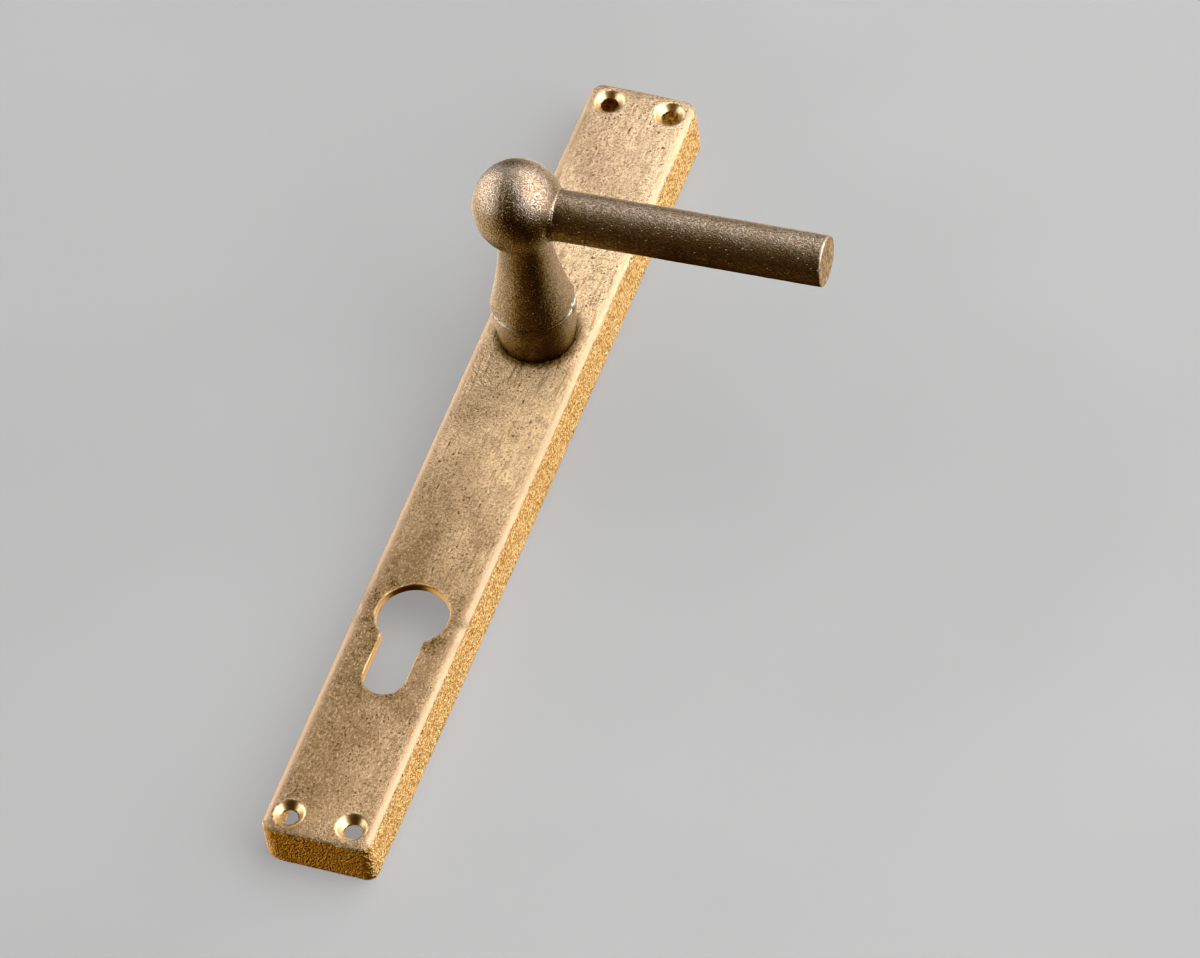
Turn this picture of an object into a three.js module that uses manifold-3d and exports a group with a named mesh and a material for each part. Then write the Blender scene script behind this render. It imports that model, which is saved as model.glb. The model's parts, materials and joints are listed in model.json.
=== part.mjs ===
// Door lever handle on a long, hollow-backed plate with an opening for a profile cylinder.
// Millimetres. The plate lies on its back: z = 0 is the plane that meets the door, and +Z points out of
// the face. +Y runs up the door towards the lever, and +X towards the free end of the grip.
// The origin is the middle of the back plane, on the middle cross rib.

import * as THREE from "three";
import { mergeVertices } from "three/addons/utils/BufferGeometryUtils.js";
import Module from "manifold-3d";

const wasm = await Module();
wasm.setup();

// ---- Driving dimensions ----

const GAP = 0.3; // kept between pieces that touch

// Plate. The sides flare out a little from the face to the back, as a casting's do.
const FACE_LENGTH = 246;
const FACE_WIDTH = 28.5;
const SIDE_FLARE = 0.85;
const END_FLARE = 0.2;
const PLATE_DEPTH = 12.5;
const CORNER_RADIUS = 3.5;
const EDGE_RADIUS = 1.2;
const FACE_WALL = 2.6;
const RIM_WALL = 2.6;
const POCKET_CORNER_RADIUS = 2;
const RIB_WIDTH = 3;
const RIB_CENTRES = [-88, 0, 76];

// Fixing screw holes, countersunk, one pair at each end of the plate.
const SCREW_OFFSET_X = 8.3;
const SCREW_OFFSET_Y = 117.2;
const SCREW_HOLE_RADIUS = 2.3;
const COUNTERSINK_RADIUS = 4.3;
const COUNTERSINK_DEPTH = 2;

// Lever axis, and the profile-cylinder opening at the usual 92 mm below it.
const SPINDLE_Y = 40;
const CYLINDER_Y = SPINDLE_Y - 92;
const OPENING_RADIUS = 9.15;
const SLOT_RADIUS = 5.35;
const SLOT_LOW_POINT = 25.3; // from the round opening's centre to the bottom of the slot

// Collar on the plate's face, with a spigot through the plate.
const COLLAR_HEIGHT = 13.6;
const COLLAR_FOOT_RADIUS = 9.5;
const COLLAR_TOP_RADIUS = 10.8;
const COLLAR_BORE = 7.9;
const SPIGOT_RADIUS = 8.8;
const SPIGOT_END = 8.6;
const BOSS_RADIUS = 11.4;

// Lever: shank, flared neck, ball and straight grip.
const REST_TILT = 2.7; // degrees that the grip stands above square at rest
const TRAVEL = 40; // degrees from rest to fully pressed
const SHANK_RADIUS = 6.6;
const SHANK_END = 0.6;
const SHANK_FLAT = 6.1; // half the width across the shank's two flats
const SOCKET_HALF = 4.05; // square spindle socket
const SOCKET_TOP = 34;
const NECK_TOP_RADIUS = 6.75;
const NECK_TOP = 36.5; // above the face
const NECK_CURVE = 1.5; // how quickly the flare narrows
const BALL_RADIUS = 11.6;
const BALL_HALF_HEIGHT = 12.6;
const BALL_HEIGHT = 49.9; // of its centre above the face
const GRIP_RADIUS = 6.55;
const GRIP_HEIGHT = 49.1; // of its axis above the face
const GRIP_REACH = 79.3; // from the lever axis to the grip's end
const GRIP_SEAT = 9.3; // from the lever axis to where the grip leaves the ball
const GRIP_CHAMFER = 0.7;
const GRIP_SPIGOT_RADIUS = 4;
const GRIP_SPIGOT_LENGTH = 8;
const GRIP_PIN_RADIUS = 1.2;
const GRIP_PIN_X = 4.8;
const GRUB_RADIUS = 2.4;
const GRUB_HEIGHT = 17.5; // above the face
const GRUB_OUTER_END = 9.2;
const GRUB_HEX_RADIUS = 1.45;
const GRUB_HEX_DEPTH = 2;

// Spring mechanism in the plate's hollow, from the back plane up.
const COVER_BOTTOM = 1.3;
const SHEET = 0.7;
const COVER_HALF_WIDTH = 10;
const COVER_HALF_LENGTH = 23.5;
const COVER_CORNER_RADIUS = 4;
const COVER_HOLE_RADIUS = 7.4;
const COVER_POST_OFFSET = 19.5;
const COVER_POST_RADIUS = 3;
const COVER_SCREW_RADIUS = 1.3;
const COVER_SCREW_LENGTH = 6;
const COVER_HEAD_RADIUS = 2.6;
const COVER_HEAD_HEIGHT = 0.75;
const RING_BOTTOM = 2.4;
const RING_THICKNESS = 0.7;
const RING_RADIUS = 8.2;
const GROOVE_RADIUS = 6.15;
const WAVE_BOTTOM = 3.38;
const WAVE_THICKNESS = 0.22;
const WAVE_HEIGHT = 0.09;
const WAVE_COUNT = 3;
const FLANGE_BOTTOM = 3.9;
const FLANGE_THICKNESS = 0.8;
const FLANGE_RADIUS = 11;
const HUB_RADIUS = 8.9;
const HUB_TOP = 7.6;
const ARM_WIDTH = 5;
const ARM_REACH = 13.8;
const ARM_TAB_START = 11.2;
const ARM_TAB_TOP = 6.6;
const STOP_RADIUS = 1.5;
const STOP_DISTANCE = 12.2; // along the arm, from the lever axis
const THRUST_WASHER_RADIUS = 10.4;
const THRUST_WASHER_THICKNESS = 0.4;
const WIRE_RADIUS = 0.45;
const SPRING_RADIUS = 9.9;
const SPRING_LOW = 5.45;
const SPRING_HIGH = 7.15;
const SPRING_LEG_END = 13.4;
const SPRING_POST_RADIUS = 1.4;
const SPRING_POST_Y = -13;

const ROUND = 48; // sides of the larger round shapes
const ROUND_SMALL = 24;

// ---- Solids ----

// A closed geometry as a manifold-3d solid.
function solid(geometry) {
  const bare = new THREE.BufferGeometry();
  bare.setAttribute("position", geometry.getAttribute("position"));
  bare.setIndex(geometry.getIndex());
  const merged = mergeVertices(bare, 1e-4);
  const mesh = new wasm.Mesh({
    numProp: 3,
    vertProperties: new Float32Array(merged.getAttribute("position").array),
    triVerts: new Uint32Array(merged.getIndex().array),
  });
  return new wasm.Manifold(mesh);
}

// A manifold-3d solid as a three.js geometry.
function geometryOf(made) {
  const { vertProperties, triVerts } = made.getMesh();
  const geometry = new THREE.BufferGeometry();
  geometry.setAttribute("position", new THREE.BufferAttribute(vertProperties, 3));
  geometry.setIndex(new THREE.BufferAttribute(triVerts, 1));
  geometry.computeVertexNormals();
  return geometry;
}

const join = (first, ...rest) => rest.reduce((whole, piece) => whole.add(piece), first);
const cut = (first, ...rest) => rest.reduce((whole, piece) => whole.subtract(piece), first);

// A profile of [radius, z] pairs turned about the Z axis, listed anticlockwise.
function turned(profile, sides = ROUND) {
  const points = profile.map(([radius, z]) => new THREE.Vector2(radius, z));
  return new THREE.LatheGeometry(points, sides).rotateX(Math.PI / 2);
}

// An upright round bar from low to high.
function bar(radius, low, high, x = 0, y = 0, sides = ROUND_SMALL) {
  const geometry = new THREE.CylinderGeometry(radius, radius, high - low, sides);
  return geometry.rotateX(Math.PI / 2).translate(x, y, (low + high) / 2);
}

// A flat ring from low to high.
function ring(inner, outer, low, high, sides = ROUND) {
  const profile = [
    [inner, low],
    [outer, low],
    [outer, high],
    [inner, high],
    [inner, low],
  ];
  return turned(profile, sides);
}

function block(x0, x1, y0, y1, z0, z1) {
  const geometry = new THREE.BoxGeometry(x1 - x0, y1 - y0, z1 - z0);
  return geometry.translate((x0 + x1) / 2, (y0 + y1) / 2, (z0 + z1) / 2);
}

// The corners of a rounded rectangle, anticlockwise.
function roundedOutline(halfX, halfY, radius, stepsPerCorner = 6) {
  const outline = [];
  for (let corner = 0; corner < 4; corner++) {
    const signX = corner === 0 || corner === 3 ? 1 : -1;
    const signY = corner < 2 ? 1 : -1;
    for (let step = 0; step <= stepsPerCorner; step++) {
      const angle = ((corner + step / stepsPerCorner) * Math.PI) / 2;
      const x = signX * (halfX - radius) + radius * Math.cos(angle);
      const y = signY * (halfY - radius) + radius * Math.sin(angle);
      outline.push([x, y]);
    }
  }
  return outline;
}

// A closed solid through rounded rectangles at rising heights, {z, halfX, halfY, radius}.
function lofted(levels, centreY = 0) {
  const positions = [];
  const triangles = [];
  const rings = levels.map(({ z, halfX, halfY, radius }) => {
    const outline = roundedOutline(halfX, halfY, radius);
    outline.forEach(([x, y]) => positions.push(x, y + centreY, z));
    return outline.length;
  });
  const count = rings[0];
  for (let level = 0; level + 1 < levels.length; level++) {
    for (let i = 0; i < count; i++) {
      const next = (i + 1) % count;
      const a = level * count + i;
      const b = level * count + next;
      triangles.push(a, b, b + count, a, b + count, a + count);
    }
  }
  const low = positions.length / 3;
  positions.push(0, centreY, levels[0].z);
  positions.push(0, centreY, levels[levels.length - 1].z);
  const top = (levels.length - 1) * count;
  for (let i = 0; i < count; i++) {
    const next = (i + 1) % count;
    triangles.push(low, next, i);
    triangles.push(low + 1, top + i, top + next);
  }
  const geometry = new THREE.BufferGeometry();
  geometry.setAttribute("position", new THREE.Float32BufferAttribute(positions, 3));
  geometry.setIndex(triangles);
  return geometry;
}

// ---- Plate ----

// How far the plate's sides and ends stand out at height z, before the edge is rounded.
function plateHalfSizes(z) {
  const share = 1 - z / PLATE_DEPTH;
  return {
    halfX: FACE_WIDTH / 2 + SIDE_FLARE * share,
    halfY: FACE_LENGTH / 2 + END_FLARE * share,
  };
}

function plateBody() {
  const levels = [{ z: 0, ...plateHalfSizes(0), radius: CORNER_RADIUS }];
  const steps = 4;
  for (let step = 0; step <= steps; step++) {
    const angle = ((step / steps) * Math.PI) / 2;
    const inset = EDGE_RADIUS * (1 - Math.cos(angle));
    const z = PLATE_DEPTH - EDGE_RADIUS * (1 - Math.sin(angle));
    const { halfX, halfY } = plateHalfSizes(z);
    levels.push({ z, halfX: halfX - inset, halfY: halfY - inset, radius: CORNER_RADIUS - inset });
  }
  return solid(lofted(levels));
}

// The hollows between the cross ribs, open at the back.
function platePockets() {
  const innerEnd = FACE_LENGTH / 2 - RIM_WALL;
  const starts = [-innerEnd, ...RIB_CENTRES.map((y) => y + RIB_WIDTH / 2)];
  const ends = [...RIB_CENTRES.map((y) => y - RIB_WIDTH / 2), innerEnd];
  return starts.map((start, index) => {
    const halfY = (ends[index] - start) / 2;
    const level = (z) => {
      const halfX = plateHalfSizes(z).halfX - RIM_WALL;
      return { z, halfX, halfY, radius: POCKET_CORNER_RADIUS };
    };
    return solid(lofted([level(-1), level(PLATE_DEPTH - FACE_WALL)], (start + ends[index]) / 2));
  });
}

function cylinderOpening() {
  const low = -1;
  const high = PLATE_DEPTH + 1;
  const slotCentre = CYLINDER_Y - SLOT_LOW_POINT + SLOT_RADIUS;
  return join(
    solid(bar(OPENING_RADIUS, low, high, 0, CYLINDER_Y, ROUND)),
    solid(block(-SLOT_RADIUS, SLOT_RADIUS, slotCentre, CYLINDER_Y, low, high)),
    solid(bar(SLOT_RADIUS, low, high, 0, slotCentre, ROUND_SMALL)),
  );
}

function countersunkHole(x, y) {
  const profile = [
    [0, PLATE_DEPTH - FACE_WALL - 1],
    [SCREW_HOLE_RADIUS, PLATE_DEPTH - FACE_WALL - 1],
    [SCREW_HOLE_RADIUS, PLATE_DEPTH - COUNTERSINK_DEPTH],
    [COUNTERSINK_RADIUS, PLATE_DEPTH],
    [COUNTERSINK_RADIUS, PLATE_DEPTH + 1],
    [0, PLATE_DEPTH + 1],
  ];
  return solid(turned(profile, ROUND_SMALL).translate(x, y, 0));
}

// Where a stop post stands beside the driver's arm: turn is 1 on the anticlockwise side, -1 on the other.
function stopPlace(armDegrees, turn) {
  const angle = THREE.MathUtils.degToRad(armDegrees);
  const beside = turn * (ARM_WIDTH / 2 + GAP + STOP_RADIUS);
  const x = STOP_DISTANCE * Math.cos(angle) - beside * Math.sin(angle);
  const y = STOP_DISTANCE * Math.sin(angle) + beside * Math.cos(angle);
  return [x, SPINDLE_Y + y];
}

// Cast posts that hang from the inside of the face: two for the cover, two stops and the spring's anchor.
function platePosts() {
  const root = PLATE_DEPTH - FACE_WALL / 2;
  const coverFoot = COVER_BOTTOM + SHEET + GAP;
  const stopFoot = FLANGE_BOTTOM - 0.5;
  const springFoot = SPRING_LOW - WIRE_RADIUS;
  const springPostX = -(WIRE_RADIUS + GAP + SPRING_POST_RADIUS);
  const [restX, restY] = stopPlace(90 + REST_TILT, 1);
  const [pressedX, pressedY] = stopPlace(90 + REST_TILT - TRAVEL, -1);
  return [
    solid(bar(COVER_POST_RADIUS, coverFoot, root, 0, SPINDLE_Y + COVER_POST_OFFSET)),
    solid(bar(COVER_POST_RADIUS, coverFoot, root, 0, SPINDLE_Y - COVER_POST_OFFSET)),
    solid(bar(STOP_RADIUS, stopFoot, root, restX, restY)),
    solid(bar(STOP_RADIUS, stopFoot, root, pressedX, pressedY)),
    solid(bar(SPRING_POST_RADIUS, springFoot, root, springPostX, SPINDLE_Y + SPRING_POST_Y)),
    solid(bar(BOSS_RADIUS, SPIGOT_END + GAP, root, 0, SPINDLE_Y, ROUND)),
  ];
}

function backplate() {
  const screwRows = [-SCREW_OFFSET_Y, SCREW_OFFSET_Y];
  const screwHoles = screwRows.flatMap((y) => [
    countersunkHole(-SCREW_OFFSET_X, y),
    countersunkHole(SCREW_OFFSET_X, y),
  ]);
  const pilotFoot = COVER_BOTTOM;
  const pilotTop = COVER_BOTTOM + COVER_SCREW_LENGTH + GAP;
  const pilots = [-COVER_POST_OFFSET, COVER_POST_OFFSET].map((offset) =>
    solid(bar(COVER_SCREW_RADIUS + GAP, pilotFoot, pilotTop, 0, SPINDLE_Y + offset)),
  );
  const leverBore = solid(bar(SPIGOT_RADIUS + GAP, 0, PLATE_DEPTH + 1, 0, SPINDLE_Y, ROUND));
  const hollow = cut(plateBody(), ...platePockets());
  const cast = join(hollow, ...platePosts());
  return cut(cast, leverBore, cylinderOpening(), ...screwHoles, ...pilots);
}

// ---- Collar and bearing ----

function neckCollar() {
  const foot = PLATE_DEPTH + GAP;
  const top = PLATE_DEPTH + COLLAR_HEIGHT;
  const profile = [
    [COLLAR_BORE, SPIGOT_END],
    [SPIGOT_RADIUS, SPIGOT_END],
    [SPIGOT_RADIUS, foot],
  ];
  const steps = 8;
  for (let step = 0; step <= steps; step++) {
    const share = step / steps;
    const swell = 1 - (1 - share) ** 2.2;
    const radius = COLLAR_FOOT_RADIUS + (COLLAR_TOP_RADIUS - COLLAR_FOOT_RADIUS) * swell;
    profile.push([radius, foot + (top - foot) * share]);
  }
  profile.push([COLLAR_BORE, top], [COLLAR_BORE, SPIGOT_END]);
  return solid(turned(profile));
}

function bearingBush() {
  const low = SPIGOT_END + GAP;
  const high = PLATE_DEPTH + COLLAR_HEIGHT - GAP;
  return solid(ring(SHANK_RADIUS + GAP, COLLAR_BORE - GAP, low, high));
}

function thrustWasher() {
  const low = HUB_TOP + GAP;
  return solid(ring(SHANK_RADIUS + GAP, THRUST_WASHER_RADIUS, low, low + THRUST_WASHER_THICKNESS));
}

// ---- Lever ----

// Outline of the shank, the flared neck and the slightly tall ball, from the shank's end to the ball's top.
function leverProfile() {
  const shoulder = PLATE_DEPTH + COLLAR_HEIGHT + GAP;
  const profile = [
    [0, SHANK_END],
    [SHANK_RADIUS, SHANK_END],
    [SHANK_RADIUS, shoulder],
  ];
  const neckSteps = 9;
  for (let step = 0; step <= neckSteps; step++) {
    const share = step / neckSteps;
    const swell = (1 - share) ** NECK_CURVE;
    const radius = NECK_TOP_RADIUS + (COLLAR_TOP_RADIUS - NECK_TOP_RADIUS) * swell;
    profile.push([radius, shoulder + (PLATE_DEPTH + NECK_TOP - shoulder) * share]);
  }
  const ballSteps = 14;
  const start = -Math.acos(NECK_TOP_RADIUS / BALL_RADIUS);
  for (let step = 0; step < ballSteps; step++) {
    const angle = start + (Math.PI / 2 - start) * (step / ballSteps);
    const z = PLATE_DEPTH + BALL_HEIGHT + BALL_HALF_HEIGHT * Math.sin(angle);
    profile.push([BALL_RADIUS * Math.cos(angle), z]);
  }
  profile.push([0, PLATE_DEPTH + BALL_HEIGHT + BALL_HALF_HEIGHT]);
  return profile;
}

// A round bar along X at the grip's height.
function barAlongX(radius, start, end, sides = ROUND_SMALL) {
  return bar(radius, start, end, 0, 0, sides).rotateY(Math.PI / 2).translate(0, 0, PLATE_DEPTH + GRIP_HEIGHT);
}

// A round bar along Y at a given x and height.
function barAlongY(radius, start, end, x, z, sides = ROUND_SMALL) {
  return bar(radius, start, end, 0, 0, sides).rotateX(-Math.PI / 2).translate(x, 0, z);
}

function leverHead() {
  const gripZ = PLATE_DEPTH + GRIP_HEIGHT;
  const spigotStart = GRIP_SEAT - GRIP_SPIGOT_LENGTH;
  const flatEnd = HUB_TOP + GAP / 2;
  const far = 2 * BALL_RADIUS;
  const flats = [-1, 1].map((side) => {
    const inner = side * SHANK_FLAT;
    const outer = side * far;
    return solid(block(Math.min(inner, outer), Math.max(inner, outer), -far, far, 0, flatEnd));
  });
  return cut(
    solid(turned(leverProfile())),
    ...flats,
    solid(ring(GROOVE_RADIUS, far, RING_BOTTOM - 0.1, RING_BOTTOM + RING_THICKNESS + 0.1)),
    solid(block(-SOCKET_HALF, SOCKET_HALF, -SOCKET_HALF, SOCKET_HALF, 0, SOCKET_TOP)),
    solid(barAlongX(GRIP_RADIUS + GAP, GRIP_SEAT - GAP, far, ROUND)),
    solid(barAlongX(GRIP_SPIGOT_RADIUS + GAP, spigotStart - GAP, far)),
    solid(barAlongY(GRIP_PIN_RADIUS + GAP, -GRIP_SPIGOT_RADIUS - 2 * GAP, far, GRIP_PIN_X, gripZ)),
    solid(barAlongY(GRUB_RADIUS + GAP, 0, far, 0, PLATE_DEPTH + GRUB_HEIGHT)),
  );
}

function gripBar() {
  const profile = [
    [0, GRIP_SEAT - GRIP_SPIGOT_LENGTH],
    [GRIP_SPIGOT_RADIUS, GRIP_SEAT - GRIP_SPIGOT_LENGTH],
    [GRIP_SPIGOT_RADIUS, GRIP_SEAT],
    [GRIP_RADIUS, GRIP_SEAT],
    [GRIP_RADIUS, GRIP_REACH - GRIP_CHAMFER],
    [GRIP_RADIUS - GRIP_CHAMFER, GRIP_REACH],
    [0, GRIP_REACH],
  ];
  const gripZ = PLATE_DEPTH + GRIP_HEIGHT;
  const along = turned(profile).rotateY(Math.PI / 2).translate(0, 0, gripZ);
  const far = 2 * GRIP_RADIUS;
  return cut(solid(along), solid(barAlongY(GRIP_PIN_RADIUS + GAP, -far, far, GRIP_PIN_X, gripZ)));
}

function gripPin() {
  const ballSurface = BALL_RADIUS * Math.sqrt(1 - (GRIP_PIN_X / BALL_RADIUS) ** 2);
  const end = ballSurface - GAP;
  return solid(barAlongY(GRIP_PIN_RADIUS, -GRIP_SPIGOT_RADIUS, end, GRIP_PIN_X, PLATE_DEPTH + GRIP_HEIGHT));
}

function grubScrew() {
  const z = PLATE_DEPTH + GRUB_HEIGHT;
  const recessStart = GRUB_OUTER_END - GRUB_HEX_DEPTH;
  return cut(
    solid(barAlongY(GRUB_RADIUS, SOCKET_HALF + GAP, GRUB_OUTER_END, 0, z)),
    solid(barAlongY(GRUB_HEX_RADIUS, recessStart, GRUB_OUTER_END + 1, 0, z, 6)),
  );
}

// ---- Spring mechanism ----

function driverDisc() {
  const flangeTop = FLANGE_BOTTOM + FLANGE_THICKNESS;
  const halfArm = ARM_WIDTH / 2;
  const outside = join(
    solid(bar(FLANGE_RADIUS, FLANGE_BOTTOM, flangeTop, 0, 0, ROUND)),
    solid(bar(HUB_RADIUS, FLANGE_BOTTOM, HUB_TOP, 0, 0, ROUND)),
    solid(block(-halfArm, halfArm, HUB_RADIUS, ARM_REACH, FLANGE_BOTTOM, flangeTop)),
    solid(block(-halfArm, halfArm, ARM_TAB_START, ARM_REACH, FLANGE_BOTTOM, ARM_TAB_TOP)),
  );
  const bore = solid(bar(SHANK_RADIUS + GAP, 0, HUB_TOP + 1, 0, 0, ROUND));
  const halfFlat = SHANK_FLAT + GAP;
  const betweenFlats = solid(block(-halfFlat, halfFlat, -HUB_RADIUS, HUB_RADIUS, 0, HUB_TOP + 1));
  return cut(outside, bore.intersect(betweenFlats));
}

// Torsion spring: an anchored leg along -Y, the coil, and a leg along +Y beside the driver's arm.
function returnSpring() {
  const movingLegX = ARM_WIDTH / 2 + GAP + WIRE_RADIUS + 0.6;
  const movingAngle = Math.acos(movingLegX / SPRING_RADIUS);
  const firstAngle = -Math.PI / 2 - 0.25;
  const sweep = firstAngle + 4 * Math.PI - movingAngle - 0.2;
  const points = [
    new THREE.Vector3(0, -SPRING_LEG_END - 0.4, SPRING_HIGH),
    new THREE.Vector3(0, -SPRING_RADIUS - 1.8, SPRING_HIGH),
  ];
  const steps = 28;
  for (let step = 0; step <= steps; step++) {
    const share = step / steps;
    const angle = firstAngle - sweep * share;
    const z = SPRING_HIGH + (SPRING_LOW - SPRING_HIGH) * share;
    points.push(new THREE.Vector3(SPRING_RADIUS * Math.cos(angle), SPRING_RADIUS * Math.sin(angle), z));
  }
  points.push(new THREE.Vector3(movingLegX, SPRING_RADIUS + 1.6, SPRING_LOW));
  points.push(new THREE.Vector3(movingLegX, SPRING_LEG_END, SPRING_LOW));
  const section = new THREE.Shape();
  section.absarc(0, 0, WIRE_RADIUS, 0, 2 * Math.PI);
  return new THREE.ExtrudeGeometry(section, {
    steps: 90,
    curveSegments: 4,
    extrudePath: new THREE.CatmullRomCurve3(points, false, "centripetal"),
  });
}

function waveWasher() {
  const geometry = ring(SHANK_RADIUS + GAP, RING_RADIUS, WAVE_BOTTOM, WAVE_BOTTOM + WAVE_THICKNESS);
  const position = geometry.getAttribute("position");
  for (let i = 0; i < position.count; i++) {
    const angle = Math.atan2(position.getY(i), position.getX(i));
    position.setZ(i, position.getZ(i) + WAVE_HEIGHT * Math.cos(WAVE_COUNT * angle));
  }
  return solid(geometry);
}

function retainingRing() {
  const top = RING_BOTTOM + RING_THICKNESS;
  return cut(
    solid(ring(GROOVE_RADIUS + GAP, RING_RADIUS, RING_BOTTOM, top)),
    solid(block(-2.2, 2.2, -2 * RING_RADIUS, 0, RING_BOTTOM - 1, top + 1)),
  );
}

function springCover() {
  const level = (z) => ({
    z,
    halfX: COVER_HALF_WIDTH,
    halfY: COVER_HALF_LENGTH,
    radius: COVER_CORNER_RADIUS,
  });
  const top = COVER_BOTTOM + SHEET;
  const holes = [-COVER_POST_OFFSET, COVER_POST_OFFSET].map((y) =>
    solid(bar(COVER_SCREW_RADIUS + GAP, 0, top + 1, 0, y)),
  );
  const sheet = solid(lofted([level(COVER_BOTTOM), level(top)]));
  return cut(sheet, solid(bar(COVER_HOLE_RADIUS, 0, top + 1, 0, 0, ROUND)), ...holes);
}

function coverScrew() {
  const headTop = COVER_BOTTOM - GAP;
  const headBottom = headTop - COVER_HEAD_HEIGHT;
  const slotHalf = 0.35;
  const slotTop = headBottom + 0.4;
  return cut(
    join(
      solid(bar(COVER_HEAD_RADIUS, headBottom, headTop)),
      solid(bar(COVER_SCREW_RADIUS, headBottom, COVER_BOTTOM + COVER_SCREW_LENGTH)),
    ),
    solid(block(-COVER_HEAD_RADIUS - 1, COVER_HEAD_RADIUS + 1, -slotHalf, slotHalf, 0, slotTop)),
  );
}

// ---- Assembly ----

const FINISHES = {
  plateBronze: { color: 0xc09a6a, roughness: 0.42, metalness: 1 },
  darkBronze: { color: 0x6e5740, roughness: 0.45, metalness: 1 },
  steel: { color: 0xa9adb0, roughness: 0.35, metalness: 1 },
  springSteel: { color: 0x6f7478, roughness: 0.3, metalness: 1 },
  nylon: { color: 0xe4e0d4, roughness: 0.6, metalness: 0 },
};

// One named mesh with a material of its own.
function piece(name, shape, finish) {
  const geometry = shape.isBufferGeometry ? shape : geometryOf(shape);
  const mesh = new THREE.Mesh(geometry, new THREE.MeshStandardMaterial(FINISHES[finish]));
  mesh.name = name;
  return mesh;
}

// What stays on the door, except the plate, centred on the lever axis.
function fixedGroup() {
  const group = new THREE.Group();
  group.position.y = SPINDLE_Y;
  group.add(piece("neck_collar", neckCollar(), "darkBronze"));
  group.add(piece("bearing_bush", bearingBush(), "nylon"));
  group.add(piece("return_spring", returnSpring(), "springSteel"));
  group.add(piece("spring_cover", springCover(), "steel"));
  const upper = piece("cover_screw_upper", coverScrew(), "steel");
  upper.position.y = COVER_POST_OFFSET;
  const lower = piece("cover_screw_lower", coverScrew(), "steel");
  lower.position.y = -COVER_POST_OFFSET;
  group.add(upper, lower);
  return group;
}

// What turns with the lever.
function leverGroup() {
  const group = new THREE.Group();
  group.position.y = SPINDLE_Y;
  group.rotation.z = THREE.MathUtils.degToRad(REST_TILT);
  group.add(piece("lever_head", leverHead(), "darkBronze"));
  group.add(piece("grip_bar", gripBar(), "darkBronze"));
  group.add(piece("grip_pin", gripPin(), "steel"));
  group.add(piece("grub_screw", grubScrew(), "steel"));
  group.add(piece("driver_disc", driverDisc(), "steel"));
  group.add(piece("thrust_washer", thrustWasher(), "nylon"));
  group.add(piece("wave_washer", waveWasher(), "springSteel"));
  group.add(piece("retaining_ring", retainingRing(), "springSteel"));
  return group;
}

const handle = new THREE.Group();
handle.add(piece("backplate", backplate(), "plateBronze"));
handle.add(fixedGroup());
handle.add(leverGroup());

export default handle;
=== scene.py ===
import json
import math
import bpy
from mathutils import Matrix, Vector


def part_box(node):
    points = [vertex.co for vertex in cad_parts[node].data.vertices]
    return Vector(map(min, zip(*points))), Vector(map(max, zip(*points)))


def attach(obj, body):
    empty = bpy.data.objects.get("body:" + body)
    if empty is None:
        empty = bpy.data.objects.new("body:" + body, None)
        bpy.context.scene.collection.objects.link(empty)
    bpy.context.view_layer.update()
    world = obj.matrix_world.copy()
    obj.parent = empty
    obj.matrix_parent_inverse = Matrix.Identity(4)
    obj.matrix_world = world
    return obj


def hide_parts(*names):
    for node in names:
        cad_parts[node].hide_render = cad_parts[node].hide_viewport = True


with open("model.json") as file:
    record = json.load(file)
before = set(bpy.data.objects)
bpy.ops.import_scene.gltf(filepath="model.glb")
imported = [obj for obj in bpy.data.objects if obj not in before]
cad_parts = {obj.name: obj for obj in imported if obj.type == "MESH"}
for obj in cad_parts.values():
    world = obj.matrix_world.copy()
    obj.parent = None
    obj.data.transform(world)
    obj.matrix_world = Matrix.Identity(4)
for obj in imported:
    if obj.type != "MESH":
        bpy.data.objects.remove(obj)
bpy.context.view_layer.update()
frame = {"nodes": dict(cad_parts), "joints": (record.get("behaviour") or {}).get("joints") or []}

from types import SimpleNamespace

import bpy
import numpy as np
from mathutils import Matrix, Vector, noise

# ---- Sizes in millimetres, from the frame and from the way such a handle is made ----
# The plate lies on its back at z = 0, with the lever's end along +Y.

MM = 0.001
SPINDLE_Y = frame["joints"][0]["pos_m"][1] / MM
REST_TILT = math.radians(2.7)

# The plate. It grows by the flares from its face to its base, and each corner of its outline has a
# radius at the face and another at the base.
PLATE_LOW, PLATE_HIGH = (np.array(corner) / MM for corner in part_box("backplate"))
FACE = PLATE_HIGH[2]
SIDE_FLARE = 0.85
END_FLARE = 0.2
NEAR_LEFT_RADII = (3.4, 6.2)
NEAR_RIGHT_RADII = (2.8, 2.8)
FAR_LEFT_RADII = (3.2, 3.2)
FAR_RIGHT_RADII = (4.0, 6.0)
EDGE_WIDTH = 5.0
EDGE_DEPTH = 1.6
CROWN = 0.3
FACE_WALL = 2.6
RIM_WALL = 2.6
POCKET_CORNER = 2.0
POCKET_EDGE = 1.2
RIB_CENTRES = (-88, 0, 76)
RIB_HALF = 1.5

SCREW_PLACES = [(x, y) for x in (-8.3, 8.3) for y in (-117.2, 117.2)]
SCREW_HOLE = 2.2
COUNTERSINK = 4.15

# The opening for a euro-profile cylinder, at a lock's standard distance below the spindle.
CYLINDER_Y = SPINDLE_Y - 92
OPENING_RADIUS = 9.15
SLOT_HALF = 5.35
SLOT_LOW_POINT = 25.3

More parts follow.
